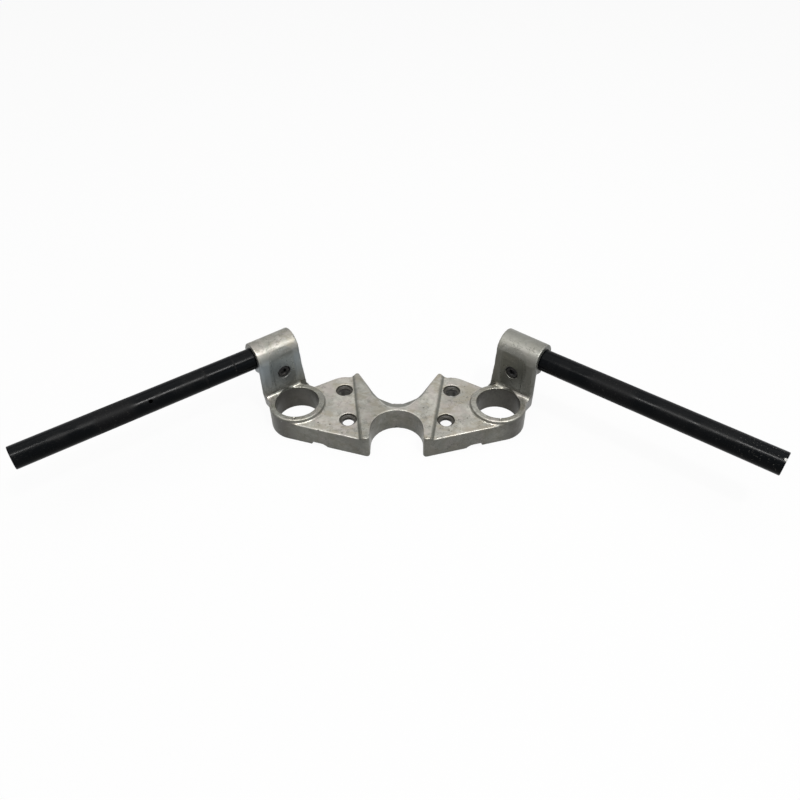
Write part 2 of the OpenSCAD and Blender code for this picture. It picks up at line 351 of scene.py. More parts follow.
def softness(points):
    """How much each point may relax: 1 on the cast skin, little where it was machined."""
    side, y, z = sides_of(points)
    along, depth = riser_ways(side, y)
    from_fork = np.hypot(side - fork_x, y)
    from_screw = np.hypot(along - screw_along, z - screw_height)
    from_bar = np.hypot(depth - boss_offset, z - bar_height)
    collar = (from_fork < ring_radius + 3.5) & (z > pad_top - 0.6) & (z < ring_top + 1)
    flat = (abs(along + 2) < 15) & (depth < 26) & (depth > 18) & (z > ring_top + 2)
    milled = (collar & (depth < 19)) | (flat & (points[:, 0] > 0))
    bored = (from_fork < fork_bore_r + 1.5) & (z < ring_top + 1)
    bored |= (from_screw < screw_head_radius + 2.2) & (depth < 38)
    bored |= from_bar < seat_radius + 1.2
    for bolt_x, bolt_y in bolt_places:
        bored |= np.hypot(side - bolt_x, y - bolt_y) < recess_radius + 0.9
    soft = np.where(milled, milled_share, 1.0)
    soft[bored] = 0.0
    return soft


def relax(piece, times, group=None):
    smooth = piece.modifiers.new("relax", "SMOOTH")
    smooth.factor = 0.5
    smooth.iterations = times
    if group:
        smooth.vertex_group = group
    bake_modifiers(piece)


def weigh(piece, group_name, shares):
    """Keeps how much each point may relax as a vertex group."""
    group = piece.vertex_groups.new(name=group_name)
    for share in np.unique(shares[shares > 0]):
        group.add(np.nonzero(shares == share)[0].tolist(), float(share), "REPLACE")


relax(casting, 2)
soft = softness(points_of(casting.data))
weigh(casting, "cast_skin", soft)
before = points_of(casting.data)
relax(casting, cast_times, "cast_skin")
print("machined points:", int((soft < 1).sum()))

# %% [markdown]
# Where a riser's front face runs into its boss, the pattern was filled with a much larger curve
# than anywhere else. So that band is relaxed many times more, and fades out at its ends.

# %% Relax the foot of the boss
boss_foot_height = 67.0
boss_foot_times = 70


def under_boss(points):
    """How far each point is in the band where the riser's face runs into the boss, 0 to 1."""
    side, y, z = sides_of(points)
    along, depth = riser_ways(side, y)
    band = np.clip(1.5 - abs(z - boss_foot_height) / 6, 0, 1)
    band *= np.clip((22.5 - abs(along)) / 3, 0, 1)
    return np.where(depth < 29, band, 0.0)


foot_shares = np.round(under_boss(points_of(casting.data)), 1)
weigh(casting, "boss_foot", foot_shares)
relax(casting, boss_foot_times, "boss_foot")
print("points under the bosses:", int((foot_shares > 0).sum()))

# %% [markdown]
# Relaxing pulls each outer edge in and fills each inner corner, so the move itself says where the
# edges and the corners are. From it the finish paints a highlight on the edges and shade in the
# corners, and makes the edges less rough and the corners rougher. It is kept as an attribute on
# the points, which the finish reads later.

# %% Keep the move as an attribute
full_move_mm = 0.4
casting_mesh = casting.data
after = points_of(casting_mesh)
normals = np.empty(len(casting_mesh.vertices) * 3)
casting_mesh.vertices.foreach_get("normal", normals)
inward = ((before - after) * normals.reshape(-1, 3)).sum(axis=1) / MM
relax_move = casting_mesh.attributes.new("relax_move", "FLOAT", "POINT")
relax_move.data.foreach_set("value", np.clip(inward / full_move_mm, -1.0, 1.0))
print("wear from", round(float(inward.min()), 2), "to", round(float(inward.max()), 2), "mm")

# %% [markdown]
# The even skin has far more faces than its flat parts need. Remeshing it coarser would cost the
# small curves, so Decimate merges faces only where little changes, and weighted normals keep the
# flat faces looking flat.

# %% Thin the skin where it is flat
triangle_limit = 190000
triangles = 2 * len(casting_mesh.polygons)
thin = casting.modifiers.new("thin", "DECIMATE")
thin.ratio = min(1.0, triangle_limit / triangles)
even = casting.modifiers.new("even", "WEIGHTED_NORMAL")
even.keep_sharp = False
casting_mesh = bake_modifiers(casting)
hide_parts("bridge_casting")
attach(casting, "root")
print("casting:", len(casting_mesh.polygons), "faces")

# %% [markdown]
# ## The bar tubes
# A tube is its wall's section carried round a circle, so it follows a rule, and Geometry Nodes
# can hold that rule: a rectangle as long as the tube and as wide as its wall, with its corners
# rounded, is swept along a circle. A cylinder with a bore cut in it would need its lips bevelled
# afterwards. The left tube has a small drilled hole, cut by a boolean.

# %% A helper for Geometry Nodes trees
class Recipe:
    """A Geometry Nodes tree with named inputs."""

    def __init__(self, name, **inputs):
        self.tree = bpy.data.node_groups.new(name, "GeometryNodeTree")
        self.tree.interface.new_socket("Geometry", in_out="OUTPUT",
                                       socket_type="NodeSocketGeometry")
        self.identifiers = {}
        for key, kind in inputs.items():
            socket = self.tree.interface.new_socket(key, in_out="INPUT",
                                                    socket_type="NodeSocket" + kind)
            self.identifiers[key] = socket.identifier
        self.entry = self.tree.nodes.new("NodeGroupInput")
        self.exit = self.tree.nodes.new("NodeGroupOutput")

    def given(self, key):
        return self.entry.outputs[key]

    def node(self, kind, settings=None, inputs=None):
        made = self.tree.nodes.new(kind)
        for key, setting in (settings or {}).items():
            setattr(made, key, setting)
        for key, value in (inputs or {}).items():
            for one in value if isinstance(value, list) else [value]:
                if isinstance(one, bpy.types.NodeSocket):
                    self.tree.links.new(one, made.inputs[key])
                else:
                    made.inputs[key].default_value = one
        return made

    def maths(self, operation, first, second):
        made = self.node("ShaderNodeMath", {"operation": operation}, {0: first, 1: second})
        return made.outputs[0]

    def end(self, geometry):
        """Ends the tree in real geometry with the material on it."""
        real = self.node("GeometryNodeRealizeInstances", None, {"Geometry": geometry})
        coated = self.node("GeometryNodeSetMaterial", None,
                           {"Geometry": real.outputs[0], "Material": self.given("Material")})
        self.tree.links.new(coated.outputs[0], self.exit.inputs[0])

    def make(self, piece_name, matrix, **values):
        """Runs the tree and returns a plain mesh, laid in place by the matrix."""
        holder = bpy.data.objects.new(piece_name, bpy.data.meshes.new(piece_name))
        bpy.context.scene.collection.objects.link(holder)
        modifier = holder.modifiers.new("recipe", "NODES")
        modifier.node_group = self.tree
        for key, value in values.items():
            modifier[self.identifiers[key]] = value
        mesh = bake_modifiers(holder)
        mesh.transform(matrix)
        turned_out(mesh)
        return holder


def turned_out(mesh):
    """Merges doubles and points every face outwards."""
    work = bmesh.new()
    work.from_mesh(mesh)
    bmesh.ops.remove_doubles(work, verts=work.verts, dist=0.001 * MM)
    bmesh.ops.recalc_face_normals(work, faces=work.faces)
    work.to_mesh(mesh)
    work.free()


# %% The recipe for a drilled tube
def ring_wall(recipe, length, radius, bore, middle):
    """A tube's wall: a rounded rectangle carried round a circle."""
    wall = recipe.maths("SUBTRACT", radius, bore)
    path = recipe.node("GeometryNodeCurvePrimitiveCircle", {"mode": "RADIUS"},
                       {"Resolution": recipe.given("Steps"),
                        "Radius": recipe.maths("ADD", bore, recipe.maths("MULTIPLY", wall, 0.5))})
    section = recipe.node("GeometryNodeCurvePrimitiveQuadrilateral", {"mode": "RECTANGLE"},
                          {"Width": wall, "Height": length})
    rounded = recipe.node("GeometryNodeFilletCurve", {"mode": "POLY"},
                          {"Curve": section.outputs[0], "Radius": recipe.given("Lip"), "Count": 4,
                           "Limit Radius": True})
    swept = recipe.node("GeometryNodeCurveToMesh", None,
                        {"Curve": path.outputs[0], "Profile Curve": rounded.outputs[0]})
    lift = recipe.node("ShaderNodeCombineXYZ", None, {"Z": middle})
    moved = recipe.node("GeometryNodeTransform", None,
                        {"Geometry": swept.outputs[0], "Translation": lift.outputs[0]})
    return moved.outputs[0]


def tube_recipe():
    recipe = Recipe("drilled_tube", Start="Float", Shoulder="Float", End="Float", Radius="Float",
                    Seat="Float", Bore="Float", Lip="Float", Steps="Int", Drilled="Bool",
                    HoleAt="Float", HoleRadius="Float", Material="Material")
    parts = []
    for start, end, radius in (("Shoulder", "End", "Radius"), ("Start", "Shoulder", "Seat")):
        length = recipe.maths("SUBTRACT", recipe.given(end), recipe.given(start))
        total = recipe.maths("ADD", recipe.given(end), recipe.given(start))
        parts.append(ring_wall(recipe, length, recipe.given(radius), recipe.given("Bore"),
                               recipe.maths("MULTIPLY", total, 0.5)))
    drill = recipe.node("GeometryNodeMeshCylinder", None,
                        {"Vertices": 40, "Radius": recipe.given("HoleRadius"),
                         "Depth": recipe.given("Radius")})
    spot = recipe.node("ShaderNodeCombineXYZ", None,
                       {"X": recipe.given("Radius"), "Z": recipe.given("HoleAt")})
    aimed = recipe.node("GeometryNodeTransform", None,
                        {"Geometry": drill.outputs[0], "Translation": spot.outputs[0],
                         "Rotation": (0.0, math.pi / 2, 0.0)})
    cut = recipe.node("GeometryNodeMeshBoolean", {"operation": "DIFFERENCE", "solver": "EXACT"},
                      {"Mesh 1": parts[0], "Mesh 2": aimed.outputs[0]})
    free = recipe.node("GeometryNodeSwitch", {"input_type": "GEOMETRY"},
                       {"Switch": recipe.given("Drilled"), "False": parts[0],
                        "True": cut.outputs[0]})
    whole = recipe.node("GeometryNodeJoinGeometry", None,
                        {"Geometry": [free.outputs[0], parts[1]]})
    smooth = recipe.node("GeometryNodeSetShadeSmooth", None, {"Geometry": whole.outputs[0]})
    recipe.end(smooth.outputs[0])
    return recipe


# %% [markdown]
# ## The black bars' finish
# The bars have a glossy black coat that has been handled for years. Grips and lever clamps have
# left dull rings, and fine lines run along the tube where sleeves were pulled off. The rings could
# be painted by hand, but worked out from the distance along the bar they need no image. The coat
# stays dark from every side because its reflections are weak: the shine is in the low roughness,
# which keeps a lamp's reflection to one thin line along the tube.

# %% Mix the black coat
def black_coat(name, axis_start, axis, scuffs, chips, rough_end):
    """scuffs are (place along, half width, strength) and chips (point, radius)."""
    finish = Finish(bpy.data.materials.new(name))
    offset = finish.node("ShaderNodeVectorMath", "Vector", {"operation": "SUBTRACT"},
                         {0: finish.place, 1: tuple(axis_start)})
    along = finish.node("ShaderNodeVectorMath", "Value", {"operation": "DOT_PRODUCT"},
                        {0: offset, 1: tuple(axis)}) / MM
    turn = (0.0, 0.0, -math.atan2(axis.y, axis.x))
    lines = finish.noise(1.0, 4.0, 0.7, finish.stretched(turn, (14.0, 900.0, 900.0)))
    patches = finish.noise(55.0, 4.0, 0.65, finish.stretched(turn, (0.5, 1.0, 1.0)))
    grain = finish.noise(900.0, 3.0, 0.6)
    dull = finish.rise(patches, 0.45, 0.68) * 0.5
    for place, half_width, strength in scuffs:
        edge = 1.0 - finish.rise((along - place).size() / half_width, 0.5, 1.0)
        dull = dull.most(edge * strength)
    scratch = finish.rise(lines, 0.6, 0.7)
    near_end = finish.rise(along, bar_end - 75.0, bar_end - 10.0) * rough_end
    flecks = finish.rise(finish.noise(520.0, 3.0, 0.7), 0.60, 0.68) * (near_end + dull * 0.35)
    bare = 0.0
    for point, radius in chips:
        ragged = finish.distance_to(point) + (grain - 0.5) * 2.5 * radius * MM
        bare = bare + (ragged < radius * MM)
    black, dull_black = (0.0022, 0.0030, 0.0040, 1.0), (0.0065, 0.0065, 0.007, 1.0)
    scratched, flecked = (0.035, 0.036, 0.038, 1.0), (0.16, 0.155, 0.14, 1.0)
    bare_steel = (0.75, 0.75, 0.72, 1.0)
    colour = finish.layered(black, [(dull, dull_black), (scratch * 0.3, scratched),
                                    (flecks * 0.5, flecked), (bare, bare_steel)])
    rough = 0.18 + dull * 0.35 + scratch * 0.1 + (grain - 0.5) * 0.06
    height = patches * 0.3 + grain * 0.08 - scratch * 0.1
    return finish.surface(Base_Color=colour, Roughness=rough, Metallic=0.0,
                          Specular_IOR_Level=0.045, Normal=finish.bump(height, 0.03))


# %% Place the rings and the chip that show clearly
bar_axis_start = riser_point(0.0, boss_offset, bar_height)
chip_rise = math.radians(61)
nearer_up = ahead * -math.cos(chip_rise) + skyward * math.sin(chip_rise)
end_chip = riser_point(bar_end - 1.0, boss_offset, bar_height) + nearer_up * bar_radius * MM
right_rings = [(50.0, 9.0, 0.3), (100.0, 30.0, 0.75), (160.0, 22.0, 0.4)]
right_coat = black_coat("black_coat_right", bar_axis_start, along_bar, right_rings,
                        [(end_chip, 1.4)], 1.0)
left_start = mirror_image @ bar_axis_start
left_axis = Vector((-along_bar.x, along_bar.y, 0.0))
left_rings = [(46.5, 1.1, 0.9), (77.0, 1.6, 0.8), (168.0, 26.0, 0.9)]
left_coat = black_coat("black_coat_left", left_start, left_axis, left_rings, [], 0.15)
print("rings:", len(left_rings), "on the left bar,", len(right_rings), "on the right bar")

# %% [markdown]
# Each bar is made standing on its own Z axis, where every size is a plain number, and one matrix
# lays it in its boss. The left bar is the mirror image of the right one, with the hole drilled.

# %% Make both bars
drilled_tube = tube_recipe()
hole_up = ahead * -math.cos(locator_rise) + skyward * math.sin(locator_rise)
laid = placed(hole_up, along_bar.cross(hole_up), along_bar, bar_axis_start)
bar_sizes = {"Start": seat_start * MM, "Shoulder": shoulder_at * MM, "End": bar_end * MM,
             "Radius": bar_radius * MM, "Seat": seat_radius * MM, "Bore": bar_bore * MM,
             "Lip": bar_lip * MM, "Steps": 128, "HoleAt": locator_at * MM,
             "HoleRadius": locator_radius * MM}


def make_bar(side, matrix, coat, drilled):
    bar = drilled_tube.make(side + "_bar", matrix, Drilled=drilled, Material=coat, **bar_sizes)
    even = bar.modifiers.new("even", "WEIGHTED_NORMAL")
    even.keep_sharp = True
    bake_modifiers(bar)
    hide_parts(side + "_bar_tube")
    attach(bar, "root")
    size = [round(v, 4) for v in bar.dimensions]
    print(side, "bar:", len(bar.data.polygons), "faces, size", size)


make_bar("left", mirror_image @ laid, left_coat, True)
make_bar("right", laid, right_coat, False)

# %% [markdown]
# ## The cast aluminium's finish
# Bare cast aluminium is never one grey. Its skin is mottled at the size of a fingertip, grained
# like fine sandpaper, stained a little brown where water dried, and it has a few pin holes. Its
# rubbed edges are a little smoother and get a painted highlight, and its corners painted shade.
# What was cut by a tool looks different, and the walls, bores, recesses and bevels get painted
# shade, so the finish first finds such zones from each point's place.

# %% Find where a point is on the casting
def apart(first, second):
    return (first * first + second * second).root()


class Spot:
    """A point's place in millimetres, with both sides of the casting laid on the right one."""

    def __init__(self, finish):
        self.x, self.y, self.z = (finish.part(axis) / MM for axis in "XYZ")
        self.side = self.x.size()
        self.along, self.depth = riser_ways(self.side, self.y)
        self.from_fork = self.off_side(fork_x, 0.0)

    def off_side(self, side, y):
        """How far the point is from an upright line at a place."""
        return apart(self.side - side, self.y - y)


# %% Find what was cut by a tool
dot_from_fork = 24.75
dot_radius = 1.2
rim_outer_radius = 27.6
foot_radii, foot_heights = (28.9, 31.0), (23.3, 25.6)


def ring_zones(finish, at):
    """The collar's filed foot, the rim's face, the bore and wall (for painted shade) and the rim's
    dot.
    """
    leaf = finish.within(at.from_fork, *foot_radii, 0.8) * finish.within(at.z, *foot_heights, 0.6)
    leaf = leaf * 0.55
    rim = finish.within(at.from_fork, fork_bore_r - 0.5, rim_outer_radius, 1.0)
    rim = rim * finish.rise(at.z, ring_top - 1.0, ring_top - 0.4)
    bore = 1.0 - finish.rise(at.from_fork, fork_bore_r, fork_bore_r + 0.6)
    bore = bore * (at.z < ring_top - 0.3)
    shade = finish.within(at.from_fork, 27.4, 30.0, 1.0)
    shade = shade * finish.within(at.z, pad_top, ring_top - 0.3, 0.8) * (1.0 - leaf)
    from_dot = at.off_side(fork_x, -dot_from_fork)
    dot = 1.0 - finish.rise(from_dot, dot_radius - 0.3, dot_radius + 0.4)
    return leaf, rim, bore, shade, dot * (at.z > ring_top - 2.5)


flat_along, flat_heights, flat_depths = (-15.0, 11.0), (31.0, 64.0), (20.0, 26.0)
fillet_heights, fillet_depths = (27.9, 30.4), (18.0, 24.6)


def riser_zones(finish, at):
    """The milled flat round the screw and the filed fillet at the riser's front foot."""
    flat = finish.within(at.along, *flat_along, 0.8) * finish.within(at.z, *flat_heights, 2.0)
    flat = flat * finish.within(at.depth, *flat_depths, 1.0)
    fillet = finish.within(at.z, *fillet_heights, 1.2)
    fillet = fillet * finish.within(at.depth, *fillet_depths, 0.6)
    return flat, fillet * (at.from_fork > fork_bore_r + 0.8) * 0.75


# %% Find the web's foot, bevels and crease, and the sunk places
web_top = 26.0
relief_y, relief_r = 11.4, 19.3
foot_near = (36.5, -52.5)
foot_far = (49.8, 45.5)


def web_zones(finish, at):
    """The painted shade along the web's foot and on the bevels below the web's top, and the crease.
    """
    run_x, run_y = foot_far[0] - foot_near[0], foot_far[1] - foot_near[1]
    to_pad = (at.side - foot_near[0]) * run_y - (at.y - foot_near[1]) * run_x
    to_pad = to_pad / math.hypot(run_x, run_y)
    foot = finish.rise(to_pad, -3.8, -1.2) * (1.0 - finish.rise(to_pad, -0.6, 0.9))
    foot = foot * (at.z > pad_top - 0.6)
    bevels = 1.0 - finish.rise(at.z, web_top - 1.2, web_top - 0.2)
    bevels = bevels * (to_pad < -4.2) * (at.y > -9.5)
    crease = finish.within(at.off_side(0.0, relief_y), relief_r - 0.2, relief_r + 1.0, 0.6)
    return foot, bevels, crease * (at.z > web_top - 1.0)


pocket_sides, pocket_ys = (33.0, 75.5), (-33.0, 31.0)
pocket_end_sides, pocket_end_ys = (41.5, 62.5), (30.0, 38.5)
pocket_roof = pad_top - 6.3


def sunk_zones(finish, at):
    """The bolt recesses, the pockets underneath and the ring round each screw, for painted shade.
    """
    near_bolt = None
    for bolt_x, bolt_y in bolt_places:
        inside = 1.0 - finish.rise(at.off_side(bolt_x, bolt_y), recess_radius - 0.2,
                                   recess_radius + 0.5)
        near_bolt = inside if near_bolt is None else near_bolt.most(inside)
    recess = near_bolt * (1.0 - finish.rise(at.z, pad_top - 1.2, pad_top - 0.3))
    pocket = finish.within(at.side, *pocket_sides, 0.6) * finish.within(at.y, *pocket_ys, 0.6)
    pocket_end = finish.within(at.side, *pocket_end_sides, 0.6)
    pocket_end = pocket_end * finish.within(at.y, *pocket_end_ys, 0.6)
    pocket = pocket.most(pocket_end) * (at.z < pocket_roof)
    from_screw = apart(at.along - screw_along, at.z - screw_height)
    ring = finish.within(from_screw, screw_head_radius - 1.5, screw_head_radius + 1.2, 0.6)
    ring = ring * (1.0 - finish.rise(at.depth, 26.0, 28.0)) * (at.z > ring_top + 4)
    return recess.most(pocket * 0.7).most(ring * 0.5)


# %% [markdown]
# The colours are laid over one another in turn: the skin from the sand, then painted light and
# shade with some dirt, then the zones, and the pin holes and scratches last. The left riser gets a
# painted reflection of the sky that makes it lighter and cooler, and the right one painted shade.

# %% Name the colours of the casting
clean = (0.48, 0.47, 0.425, 1.0)
cloudy = (0.315, 0.31, 0.28, 1.0)
brown = (0.31, 0.285, 0.23, 1.0)
rosy = (0.43, 0.375, 0.355, 1.0)
painted_sky_reflection = (0.32, 0.365, 0.395, 1.0)
right_riser_shade = (0.25, 0.25, 0.228, 1.0)
bare_metal_and_highlight = (0.6, 0.595, 0.565, 1.0)
dirt_and_shade = (0.108, 0.112, 0.096, 1.0)
deep_shade = (0.024, 0.021, 0.016, 1.0)
pin_hole = (0.045, 0.042, 0.036, 1.0)
# A few pin holes and stains that show clearly, as places on the pads and the neck.
clear_marks = [((-78.6, -37.6, 23.0), 1.1), ((-79.7, -26.6, 23.0), 0.9),
               ((-67.6, -29.3, 23.0), 0.8), ((-54.2, -41.6, 23.0), 0.8),
               ((-53.8, -46.9, 23.0), 0.9), ((-13.5, -1.7, 24.0), 0.9),
               ((-15.9, -7.1, 24.5), 1.2), ((-1.4, -11.0, 2.4), 1.3),
               ((71.4, -18.9, 23.0), 0.9), ((52.2, -36.6, 23.0), 1.0), ((26.9, -7.2, 25.5), 1.0)]
print("clear marks:", len(clear_marks))


# %% The skin as it left the sand
def sand_layers(finish, mottle):
    """What lies over the clean metal, as (how much, its colour)."""
    clouds = finish.noise(34.0, 4.0, 0.6)
    stains = finish.noise(58.0, 5.0, 0.7, finish.stretched((0.3, 0.2, 0.5), (1.0, 1.6, 1.2)))
    blush = finish.noise(47.0, 3.0, 0.6, finish.stretched((0.1, 0.7, 0.2), (1.3, 1.0, 1.1)))
    smudge = finish.noise(120.0, 5.0, 0.75)
    return [(finish.rise(clouds, 0.42, 0.62), cloudy),
            (finish.rise(mottle, 0.42, 0.62) * 0.7, cloudy),
            (finish.rise(blush, 0.47, 0.62) * 0.45, rosy),
            (finish.rise(stains, 0.46, 0.62) * 0.8, brown),
            (finish.rise(smudge, 0.52, 0.7) * 0.55, dirt_and_shade)]


# %% Painted light and shade, and dirt in the corners
def light_shade_and_dirt_layers(finish, at, rubbed, corner_dirt_and_shade, filed):
    """Painted light and shade: edge highlights, shade in corners, on walls, sides, bosses, risers.
    """
    facing_up = finish.part("Z", finish.node("ShaderNodeNewGeometry", "Normal"))
    # Faces turned sideways or down get painted shade, except on the filed fillets.
    wall = 1.0 - finish.rise(facing_up, -0.2, 0.9)
    left = 1.0 - finish.rise(at.x, -60.0, 60.0)
    on_riser = finish.rise(at.z, 27.0, 34.0)
    # Below the boss the left riser gets a painted reflection of the sky, lighter and cooler.
    below_boss = on_riser * (1.0 - finish.rise(at.z, 64.0, 79.0)) * finish.rise(at.z, 22.0, 66.0)
    # The walls of the outer ends get deep painted shade, and all walls are darker towards the
    # bottom.
    outer_side = finish.rise(at.side, 100.0, 120.0) * wall * (1.0 - on_riser)
    low_edge = wall * (1.0 - finish.rise(at.z, 1.0, 10.0))
    # The tops of the bosses get painted shade.
    boss_top = finish.rise(at.z, 76.0, 85.0)
    # The right riser gets painted shade all over.
    return [(on_riser * (1.0 - left) * 0.7, right_riser_shade), (rubbed * 0.3, bare_metal_and_highlight), (corner_dirt_and_shade * 0.5, dirt_and_shade),
            (wall * (1.0 - filed) * 0.62, dirt_and_shade), (below_boss * left * 0.9, painted_sky_reflection),
            (boss_top * 0.45, dirt_and_shade), (outer_side * 0.6, deep_shade), (low_edge * 0.25, dirt_and_shade)]


# %% The pin holes, stains and scratches
def small_marks(finish, sand, dot):
    lines = (finish.noise(95.0, 4.0, 0.6) - 0.5).size()
    squiggles = 1.0 - finish.rise(lines, 0.004, 0.016)
    squiggles = squiggles * finish.rise(finish.noise(30.0, 2.0), 0.5, 0.57)
    marks = finish.spots(75.0, 0.09, 0.28).most(finish.spots(150.0, 0.12, 0.15) * 0.6)
    marks = marks.most(squiggles * 0.6).most(dot * 0.8)
    for place, radius in clear_marks:
        away = finish.distance_to(Vector(place) * MM) / MM + (sand - 0.5) * 1.2
        marks = marks.most(1.0 - finish.rise(away, radius * 0.7, radius * 1.3))
    return marks


def long_scratches(finish):
    place = finish.stretched((0.2, 0.1, 0.7), (8.0, 700.0, 700.0))
    return finish.rise(finish.noise(1.0, 3.0, 0.6, place), 0.64, 0.74)


# %% Mix the cast skin
def cast_skin_finish():
    finish = Finish(bpy.data.materials.new("cast_aluminium_skin"))
    at = Spot(finish)
    mottle = finish.noise(190.0, 4.0, 0.65)
    sand = finish.noise(1300.0, 3.0, 0.65)
    moved = finish.node("ShaderNodeAttribute", "Fac", {"attribute_name": "relax_move"})
    # Rubbed outer edges are a little less rough and get a painted highlight in the colour.
    rubbed = finish.rise(moved + (mottle - 0.5) * 0.5, 0.12, 0.6)
    # Inner corners are a little rougher with dirt and get painted shade in the colour.
    corner_dirt_and_shade = finish.rise(moved * -1.0 + (mottle - 0.5) * 0.4, 0.08, 0.6)
    leaf, rim, bore, shade, dot = ring_zones(finish, at)
    flat, fillet = riser_zones(finish, at)
    foot, bevels, crease = web_zones(finish, at)
    sunk = sunk_zones(finish, at)
    filed = fillet.most(leaf)
    right = finish.rise(at.x, -60.0, 60.0)
    on_web = finish.rise(at.z, web_top - 0.9, web_top - 0.3) * (1.0 - finish.rise(at.z, 27.0, 34.0))
    left_web = on_web * finish.rise(at.x, 20.0, -10.0)
    # The right riser's flat, the bore, the collar's wall, the bevels, the web's foot and the sunk
    # places get painted shade; the rim and the left half of the web's top are darker and the crease
    # lighter.
    zone_layers = [(flat * right * 0.25, dirt_and_shade), (bore * 0.62, deep_shade), (shade * 0.45, dirt_and_shade),
                   (rim * (0.15 + mottle * 0.4), dirt_and_shade), (left_web * 0.3, dirt_and_shade),
                   (bevels * 0.85, dirt_and_shade), (crease * 0.5, bare_metal_and_highlight),
                   (foot * (0.6 + mottle * 0.5), dirt_and_shade), (sunk * 0.96, deep_shade)]
    marks = small_marks(finish, sand, dot)
    scratches = long_scratches(finish) * (1.0 - bore)
    layers = sand_layers(finish, mottle) + light_shade_and_dirt_layers(finish, at, rubbed, corner_dirt_and_shade, filed)
    layers += zone_layers + [(marks * 0.75, pin_hole), (scratches * 0.3, bare_metal_and_highlight)]
    polish = filed.most(rim * 0.5)
    rough = 0.4 + (mottle - 0.5) * 0.25 - rubbed * 0.08 - polish * 0.2 + corner_dirt_and_shade * 0.1
    relief = sand * 0.3 + mottle * 1.2 - marks * 1.6 - scratches * 0.3
    return finish.surface(Base_Color=finish.layered(clean, layers), Roughness=rough,
                          Metallic=(polish * 0.4 + 0.3) * (1.0 - sunk),
                          Specular_IOR_Level=0.3, Normal=finish.bump(relief, 0.08))


casting.data.materials.clear()
casting.data.materials.append(cast_skin_finish())
print("cast skin:", len(casting.data.materials[0].node_tree.nodes), "nodes")

# %% [markdown]
# ## The pinch screws
# Each riser is split under its bar, and one socket screw pulls the slit shut. The head sits in a
# round recess, so only its face, its socket and the top of its knurled side show. The head is a
# turned profile with a hexagon sunk in it, and the knurl is one small ridge repeated round it.

# %% The blackened steel of the screws
def blackened_steel():
    finish = Finish(bpy.data.materials.new("blackened_steel"))
    grain = finish.noise(900.0, 3.0)
    rubbed = finish.rise(finish.noise(300.0, 4.0, 0.7), 0.5, 0.68)
    colour = finish.blend(rubbed * 0.7, (0.012, 0.012, 0.013, 1.0), (0.085, 0.078, 0.068, 1.0))
    rough = 0.38 + grain * 0.2
    return finish.surface(Base_Color=colour, Roughness=rough, Metallic=0.2,
                          Specular_IOR_Level=0.35, Normal=finish.bump(grain, 0.03))


screw_finish = blackened_steel()
print("blackened steel:", len(screw_finish.node_tree.nodes), "nodes")

# %% Turn a profile round the Z axis
def turned(profile, steps):
    """A closed mesh from (radius, height) points, given from the bottom middle to the top."""
    work = bmesh.new()
    points = [work.verts.new((radius * MM, 0.0, height * MM)) for radius, height in profile]
    edges = [work.edges.new(pair) for pair in zip(points, points[1:])]
    bmesh.ops.spin(work, geom=points + edges, cent=(0, 0, 0), axis=(0, 0, 1), dvec=(0, 0, 0),
                   angle=2 * math.pi, steps=steps, use_merge=True)
    bmesh.ops.remove_doubles(work, verts=work.verts, dist=0.001 * MM)
    return work


def rounded_corner(radius, height, r, steps=4):
    """Points of a quarter round at the outer top corner of a turned piece."""
    turn = [i * math.pi / 2 / steps for i in range(steps + 1)]
    return [(radius - r + r * math.cos(a), height - r + r * math.sin(a)) for a in turn]


# %% A recipe that sets ridges round a head
def knurl_recipe():
    recipe = Recipe("knurl", Count="Int", Radius="Float", Depth="Float", Proud="Float",
                    Material="Material")
    ring = recipe.node("GeometryNodeCurvePrimitiveCircle", {"mode": "RADIUS"},
                       {"Resolution": recipe.given("Count"), "Radius": recipe.given("Radius")})
    spots = recipe.node("GeometryNodeCurveToPoints", {"mode": "EVALUATED"},
                        {"Curve": ring.outputs[0]})
    ridge = recipe.node("GeometryNodeMeshCylinder", None,
                        {"Vertices": 6, "Radius": recipe.given("Proud"),
                         "Depth": recipe.given("Depth")})
    ridges = recipe.node("GeometryNodeInstanceOnPoints", None,
                         {"Points": spots.outputs["Points"], "Instance": ridge.outputs[0]})
    recipe.end(ridges.outputs[0])
    return recipe


# %% Turn the screw's blank
thread_radius = 3.95
thread_end = -20.0


def screw_mesh():
    """The screw along its own Z axis, with its head's top at the head's height."""
    body_r = screw_head_radius - 0.12
    profile = [(0.0, thread_end), (thread_radius - 0.75, thread_end),
               (thread_radius, thread_end + 0.8), (thread_radius, 0.0), (body_r, 0.0)]
    profile += rounded_corner(body_r, screw_head_height, 0.8) + [(0.0, screw_head_height)]
    work = turned(profile, 48)
    mesh = bpy.data.meshes.new("screw_blank")
    work.to_mesh(mesh)
    work.free()
    turned_out(mesh)
    return mesh


# %% Shape the tool that sinks the socket
socket_across = 6.0
socket_radius = socket_across / math.sqrt(3.0)
socket_depth = 4.4


